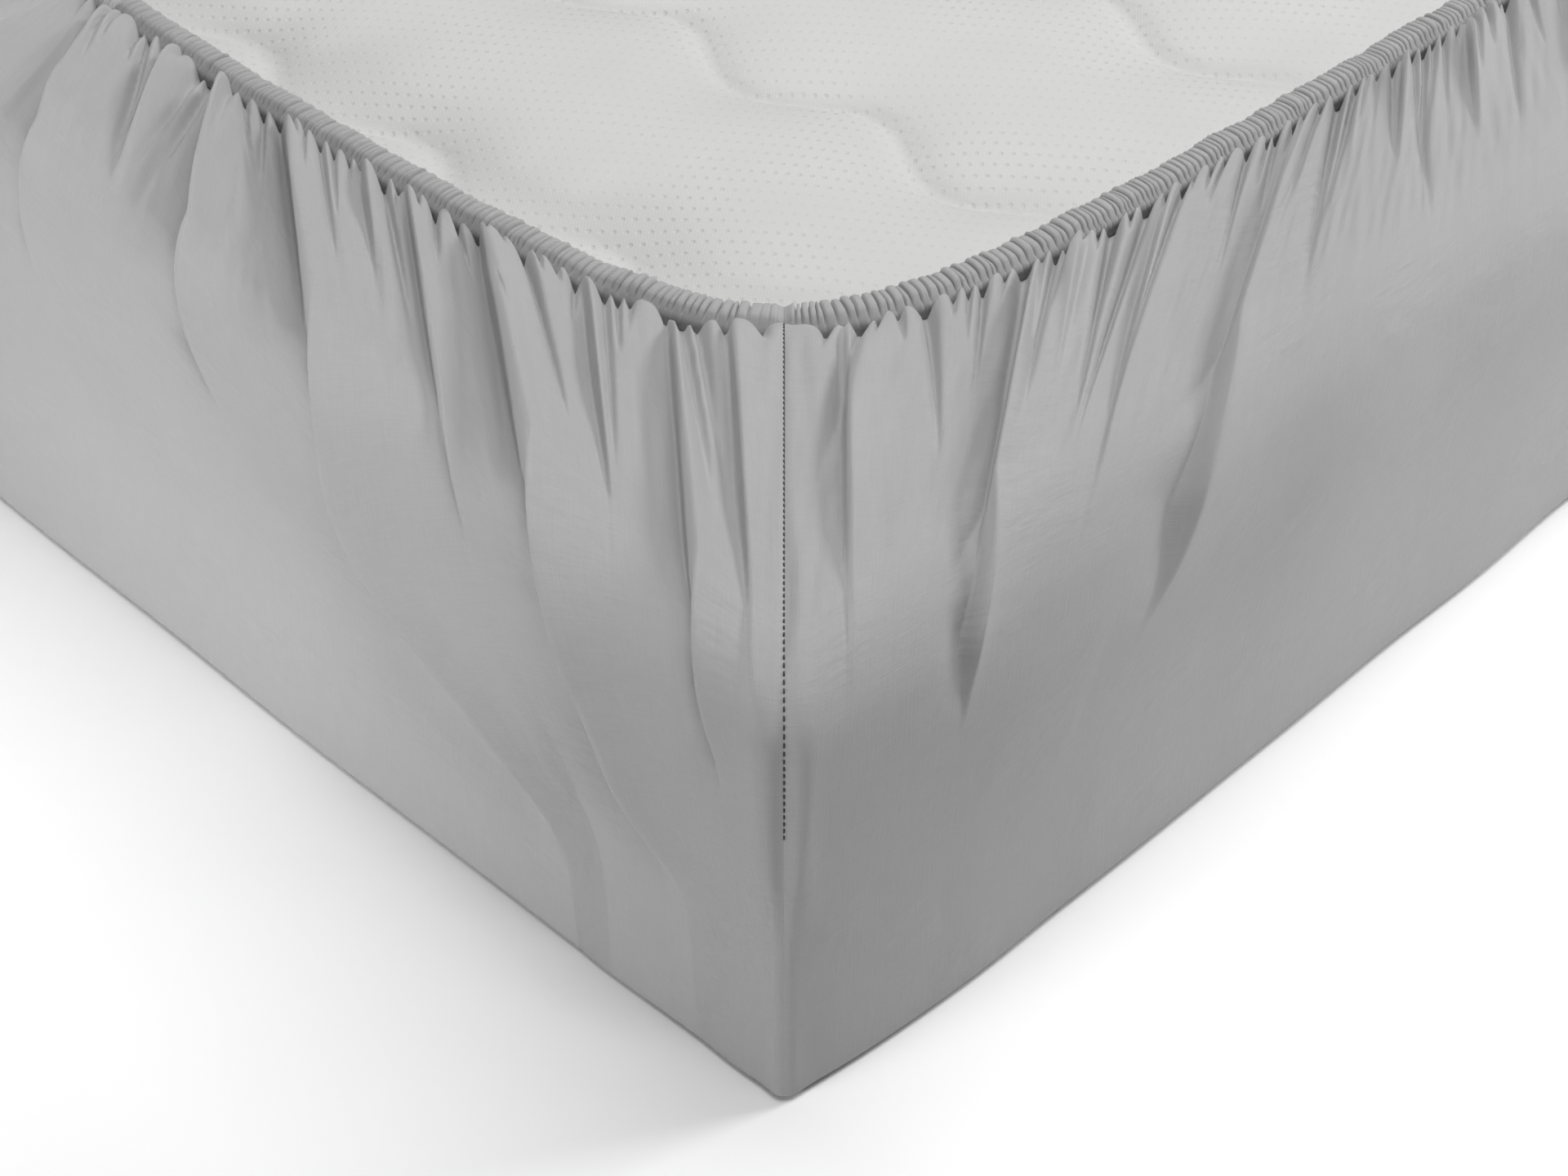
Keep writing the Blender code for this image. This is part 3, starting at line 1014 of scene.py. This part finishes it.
class FITTEDSHEET_OT_stitches(bpy.types.Operator):
    """Sews the stitches of the four corner seams"""

    bl_idname = "fitted_sheet.stitches"
    bl_label = "Corner stitches"

    def execute(self, context):
        settings = context.scene.fitted_sheet
        place, wide, up = np.array(STITCH_RINGS).T
        angle = np.arange(STITCH_SIDES) * 2 * math.pi / STITCH_SIDES
        points = []
        for name, column in SEAM_SIDES:
            mesh = bpy.data.objects["sheet_" + name].data
            grid = np.empty(3 * len(mesh.vertices), np.float32)
            mesh.vertices.foreach_get("co", grid)
            seam = grid.reshape(GRID_ROWS, -1, 3)[:, column].astype(float)
            seam = seam[seam[:, 2] > STITCHED_FROM]
            run = np.concatenate([[0.0], np.cumsum(np.linalg.norm(np.diff(seam, axis=0), axis=-1))])
            start = np.arange(0.0, run[-1] - STITCHES_END, STITCH_PITCH)
            at = start[:, None] + place * STITCH_LENGTH
            line = np.stack([np.interp(at, run, part) for part in seam.T], axis=-1)
            ahead = line[:, -1] - line[:, 0]
            ahead = ahead / np.linalg.norm(ahead, axis=-1, keepdims=True)
            sideways = np.array([-np.sign(seam[0, 1]), np.sign(seam[0, 0]), 0.0]) / math.sqrt(2)
            outwards = np.cross(sideways, ahead)
            ring = line + outwards[:, None] * up[:, None]
            reach = STITCH_RADIUS * wide[:, None, None]
            round_it = np.cos(angle)[:, None] * sideways + np.sin(angle)[:, None] * outwards[:, None, None]
            points.append((ring[:, :, None] + reach * round_it).reshape(-1, 3))
        points = np.concatenate(points)
        count = len(points) // (len(STITCH_RINGS) * STITCH_SIDES)
        index = np.arange(len(points)).reshape(count, len(STITCH_RINGS), STITCH_SIDES)
        following = np.roll(index, -1, axis=2)
        quads = [index[:, :-1], index[:, 1:], following[:, 1:], following[:, :-1]]
        quads = np.stack(quads, axis=-1).reshape(-1, 4)
        ends = [*index[:, 0], *index[:, -1, ::-1]]
        # The stitches get a near-black colour: real thread, darkened as painted shade of the holes they
        # sit in
        finish = finish_once("dark sewing thread", thread_finish, settings.thread_and_hole_shade_colour)
        mesh = new_mesh("corner_stitches", points, quads, None, ends)
        new_piece("corner_stitches", mesh, finish)
        return {"FINISHED"}


UNDER_RINGS = (1.0, 0.99, 0.9, 0.7)  # the panel's rings, as shares of its outline


class FITTEDSHEET_OT_under(bpy.types.Operator):
    """Makes the sheet's flat panel under the mattress"""

    bl_idname = "fitted_sheet.under"
    bl_label = "Panel under the mattress"

    def execute(self, context):
        settings = context.scene.fitted_sheet
        finish = finish_once("grey cotton", cotton, settings.cloth_colour)
        outline = []
        for side in named_rows(SIDE_COLUMNS, SIDES):
            rows = tuple(row[:1] for row in section_rows(settings))
            base, _ = base_surface(settings, side, column_places(settings, side), rows)
            line = to_world(side, *np.moveaxis(base, -1, 0))[0]
            outline.append(line[::-1][:-1] if side["flipped"] else line[:-1])
        outline = np.concatenate(outline)
        count = len(outline)
        rings = np.stack([outline * (share, share, 1.0) for share in UNDER_RINGS])
        faces = grid_faces(len(rings), count, True)
        start = np.arange(len(rings) - 1) * count
        closing = np.stack([start + count - 1, start + 2 * count - 1, start + count, start], -1)
        faces = np.concatenate([faces, closing])
        centre = np.arange(count)[::-1] + (len(rings) - 1) * count
        mesh = new_mesh("sheet_under", rings, faces, rings[..., :2], [centre])
        piece = new_piece("sheet_under", mesh, finish)
        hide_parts("fitted_sheet")
        return {"FINISHED"}


# The casing's section, from its lower lip over the top to its free edge, and back underneath.
# across: from the stitch line towards the free edge. up: over the mattress. pleat: share of a
# pleat's relief that shows there.
CASING_SECTION = (
    (-0.0038, -0.0054, 0.0),
    (-0.0018, 0.0004, 0.7),
    (-0.0006, 0.0016, 1.0),
    (0.0006, 0.0038, 1.0),
    (0.0024, 0.0051, 1.0),
    (0.0057, 0.0054, 1.0),
    (0.0091, 0.0052, 1.0),
    (0.0113, 0.0042, 1.0),
    (0.0123, 0.0020, 0.9),
    (0.0118, -0.0016, 0.4),
    (0.0094, -0.0036, 0.0),
    (0.0000, -0.0040, 0.0),
)
# The columns of a pleat, as shares of its width. They crowd at its two creases.
PLEAT_PLACES = (0.0, 0.08, 0.17, 0.33, 0.5, 0.67, 0.83, 0.92)
CREASE_WIDTH = 0.17  # share of a pleat's width that its flank takes on each side
CASING_RAISED = 0.0002  # how far the casing lies over the lap's plain height
PLEAT_STEPS = (0.62, 1.38)  # limits of a pleat's width, as shares of the pitch
PLEAT_HEIGHTS = (0.80, 1.12)  # limits of a pleat's height
PLEAT_SLANT = 0.0011  # how far a pleat's free end may stand off to a side
PLEAT_SHOULDER = 0.86  # height of a pleat beside its creases, as a share of its middle
CREASE_SWING = 0.11  # how much narrower the casing is at a crease
CREASE_DEPTH = 0.92  # and how much lower
PLAIN_HEIGHT = 0.85  # height of the casing where it has no pleats
SEAM_HEIGHT = 0.55  # and at a corner seam
SEAM_LENGTH = 0.004  # length over which it gets there
CLOTH_FULLNESS = 1.9  # length of the casing's cloth for a length of elastic


def pleat_edges(settings, span, rng):
    """Places of the creases between pleats, from 0 to span, with uneven steps."""
    count = int(round(span / settings.pleat_pitch))
    steps = rng.uniform(*PLEAT_STEPS, count)
    return np.concatenate([[0.0], np.cumsum(steps)]) / steps.sum() * span


class FITTEDSHEET_OT_casing(bpy.types.Operator):
    """Makes the ruched elastic casing of each side"""

    bl_idname = "fitted_sheet.casing"
    bl_label = "Elastic casing"

    def execute(self, context):
        settings = context.scene.fitted_sheet
        finish = finish_once("grey cotton", cotton, settings.cloth_colour)
        for side in named_rows(SIDE_COLUMNS, SIDES):
            rng = np.random.default_rng(side["seed"] + 100)
            length, _ = side_sizes(side)
            home = settings.hem_inset + settings.hem_round
            fine = np.linspace(home, length - home, 4001)
            inset, _ = hem_line(settings, length, fine)
            run = np.concatenate([[0.0], np.cumsum(np.hypot(np.diff(fine), np.diff(inset)))])
            creases = pleat_edges(settings, run[-1], rng)
            count = len(creases) - 1
            share = np.append(np.arange(count)[:, None] + PLEAT_PLACES, count)
            place = np.interp(share, np.arange(count + 1), creases)
            tall = rng.uniform(*PLEAT_HEIGHTS, count + 1)
            slant = rng.uniform(-PLEAT_SLANT, PLEAT_SLANT, count + 1)
            rounded = np.abs(np.sin(math.pi * share))
            flank = np.minimum(rounded / math.sin(math.pi * CREASE_WIDTH), 1.0)
            ridge = flank * (PLEAT_SHOULDER + (1 - PLEAT_SHOULDER) * rounded)
            ridge = ridge * tall[np.minimum(share.astype(int), count)]
            pleated = ramp(place, side["plain"] - 0.003, side["plain"] + 0.003)
            ridge = PLAIN_HEIGHT + (ridge - PLAIN_HEIGHT) * (0.12 + 0.88 * pleated)
            ends = ramp(place, 0.0, SEAM_LENGTH) * ramp(run[-1] - place, 0.0, SEAM_LENGTH)
            ridge = SEAM_HEIGHT + (ridge - SEAM_HEIGHT) * ends
            lean = np.interp(share, np.arange(count + 1), slant) * ends
            section = np.array(CASING_SECTION)
            across, up, shown = section.T[..., None]
            creased = (1 - ridge) * shown
            along = np.interp(place, run, fine)
            here, tilt = hem_line(settings, length, along)
            steep = np.sqrt(1 + tilt**2)
            wander = ripples(place, 0.0, rng, 6, (0.03, 0.12), 0.0, 0.0004) * ends
            out = across * (1 - CREASE_SWING * creased) - settings.casing_width + wander
            shift = lean * (across / settings.casing_width)
            plan_along = along - out * tilt / steep + shift / steep
            plan_inset = here + out / steep + shift * tilt / steep
            lifted = LAP_HEIGHT + CASING_RAISED + up * (1 - CREASE_DEPTH * creased)
            world = to_world(side, plan_along, plan_inset, lifted)
            girth = np.cumsum(np.hypot(*np.diff(section[:, :2], axis=0, prepend=section[:1, :2]).T))
            uv = np.stack(np.broadcast_arrays(place * CLOTH_FULLNESS, girth[:, None]), axis=-1)
            faces = grid_faces(*world.shape[:2], side["flipped"], closed_rows=True)
            index = np.arange(share.size * len(section)).reshape(len(section), share.size)
            turn = -1 if side["flipped"] else 1
            ends = [index[::turn, 0], index[::-turn, -1]]
            name = "casing_" + side["name"]
            new_piece(name, new_mesh(name, world, faces, uv, ends), finish)
        return {"FINISHED"}


class FITTEDSHEET_OT_declare(bpy.types.Operator):
    """Looks up each side's sheet object, and changes nothing"""

    bl_idname = "fitted_sheet.declare"
    bl_label = "Declare the cloth"

    def execute(self, context):
        for side in named_rows(SIDE_COLUMNS, SIDES):
            length, _ = side_sizes(side)
            bpy.data.objects["sheet_" + side["name"]]
            "casing_" + side["name"]
        return {"FINISHED"}


FLOOR_HALF = 9.0
FLOOR_HEIGHT = -0.0016  # just under the lowest cloth

CAMERA_LENS = 62.14  # in millimetres
CAMERA_BACK = 0.6656  # level distance from the corner, along its outward diagonal
CAMERA_HEIGHT = 0.8306
CAMERA_PITCH = math.radians(40.7)  # how far it looks down

# The lamps. Power is in watts, and spread in degrees.
LAMP_COLUMNS = ("name", "place", "aim", "size", "power", "spread")
LAMPS = (
    ("key", (1.4, 1.7, 1.9), (0.2, -0.7, 0.2), (0.9, 0.9), 42.0, 180),
    ("overhead", (0.0, 0.0, 2.6), (0.0, -0.4, 0.2), (2.0, 2.0), 44.0, 180),
    ("overhead front", (0.7, -1.3, 2.6), (0.3, -0.8, 0.2), (1.0, 1.0), 24.0, 180),
    ("front side", (0.03, -2.4, 0.40), (0.05, -1.0, 0.06), (0.4, 0.4), 1.35, 50),
    ("right side", (1.85, -0.42, 0.45), (0.45, -0.42, 0.1), (0.4, 0.4), 0.4, 50),
)


class FITTEDSHEET_OT_stage(bpy.types.Operator):
    """Sets up the floor, the lights and the camera"""

    bl_idname = "fitted_sheet.stage"
    bl_label = "Stage"

    def execute(self, context):
        settings = context.scene.fitted_stage
        corners = ((-1, -1), (1, -1), (1, 1), (-1, 1))
        points = [(FLOOR_HALF * x, FLOOR_HALF * y, FLOOR_HEIGHT) for x, y in corners]
        mesh = new_mesh("floor", points, [(0, 1, 2, 3)])
        mesh.materials.append(floor_finish("pale floor", settings.floor_colour))
        floor = bpy.data.objects.new("floor", mesh)
        context.scene.collection.objects.link(floor)
        for lamp in named_rows(LAMP_COLUMNS, LAMPS):
            light = bpy.data.lights.new(lamp["name"], "AREA")
            light.shape = "RECTANGLE"
            light.size, light.size_y = lamp["size"]
            light.energy = lamp["power"]
            light.spread = math.radians(lamp["spread"])
            holder = bpy.data.objects.new(lamp["name"], light)
            holder.location = lamp["place"]
            towards = Vector(lamp["aim"]) - Vector(lamp["place"])
            holder.rotation_euler = towards.to_track_quat("-Z", "Y").to_euler()
            context.scene.collection.objects.link(holder)
        world = bpy.data.worlds.new("studio")
        world.use_nodes = True
        background = world.node_tree.nodes["Background"]
        background.inputs["Color"].default_value = (1.0, 1.0, 1.0, 1.0)
        background.inputs["Strength"].default_value = settings.sky
        context.scene.world = world
        context.scene.view_settings.view_transform = "Standard"
        camera = bpy.data.objects.new("camera", bpy.data.cameras.new("camera"))
        camera.data.lens = CAMERA_LENS
        camera.data.sensor_width = 36.0
        camera.data.clip_start = 0.02
        camera.location = (
            WALL_X + CAMERA_BACK / math.sqrt(2),
            -WALL_Y - CAMERA_BACK / math.sqrt(2),
            CAMERA_HEIGHT,
        )
        camera.rotation_euler = (math.pi / 2 - CAMERA_PITCH, 0.0, math.pi / 4)
        context.scene.collection.objects.link(camera)
        context.scene.camera = camera
        return {"FINISHED"}


class FITTEDSHEET_PT_sidebar(bpy.types.Panel):
    """Lists the pieces of the fitted sheet"""

    bl_label = "Fitted Sheet"
    bl_idname = "FITTEDSHEET_PT_sidebar"
    bl_space_type = "VIEW_3D"
    bl_region_type = "UI"
    bl_category = "Fitted Sheet"

    def draw(self, context):
        for group in ("fitted_sheet", "fitted_mattress", "fitted_stage"):
            box = self.layout.box()
            settings = getattr(context.scene, group)
            for name in type(settings).__annotations__:
                box.prop(settings, name)
        for operator in OPERATORS:
            self.layout.operator(operator.bl_idname)


OPERATORS = (
    FITTEDSHEET_OT_mattress,
    FITTEDSHEET_OT_sides,
    FITTEDSHEET_OT_stitches,
    FITTEDSHEET_OT_under,
    FITTEDSHEET_OT_casing,
    FITTEDSHEET_OT_declare,
    FITTEDSHEET_OT_stage,
)
SETTINGS = {
    "fitted_sheet": SheetSettings,
    "fitted_mattress": MattressSettings,
    "fitted_stage": StageSettings,
}


def register():
    """Makes the settings, operators and panel known to Blender."""
    for kind in (*SETTINGS.values(), *OPERATORS, FITTEDSHEET_PT_sidebar):
        bpy.utils.register_class(kind)
    for name, kind in SETTINGS.items():
        setattr(bpy.types.Scene, name, bpy.props.PointerProperty(type=kind))


def unregister():
    """Takes them away again."""
    for name in SETTINGS:
        delattr(bpy.types.Scene, name)
    for kind in (FITTEDSHEET_PT_sidebar, *OPERATORS[::-1], *SETTINGS.values()):
        bpy.utils.unregister_class(kind)


def main():
    """Makes every piece in order."""
    register()
    bpy.ops.fitted_sheet.mattress()
    bpy.ops.fitted_sheet.sides()
    bpy.ops.fitted_sheet.stitches()
    bpy.ops.fitted_sheet.under()
    bpy.ops.fitted_sheet.casing()
    bpy.ops.fitted_sheet.declare()
    bpy.ops.fitted_sheet.stage()


if __name__ == "__main__":
    main()
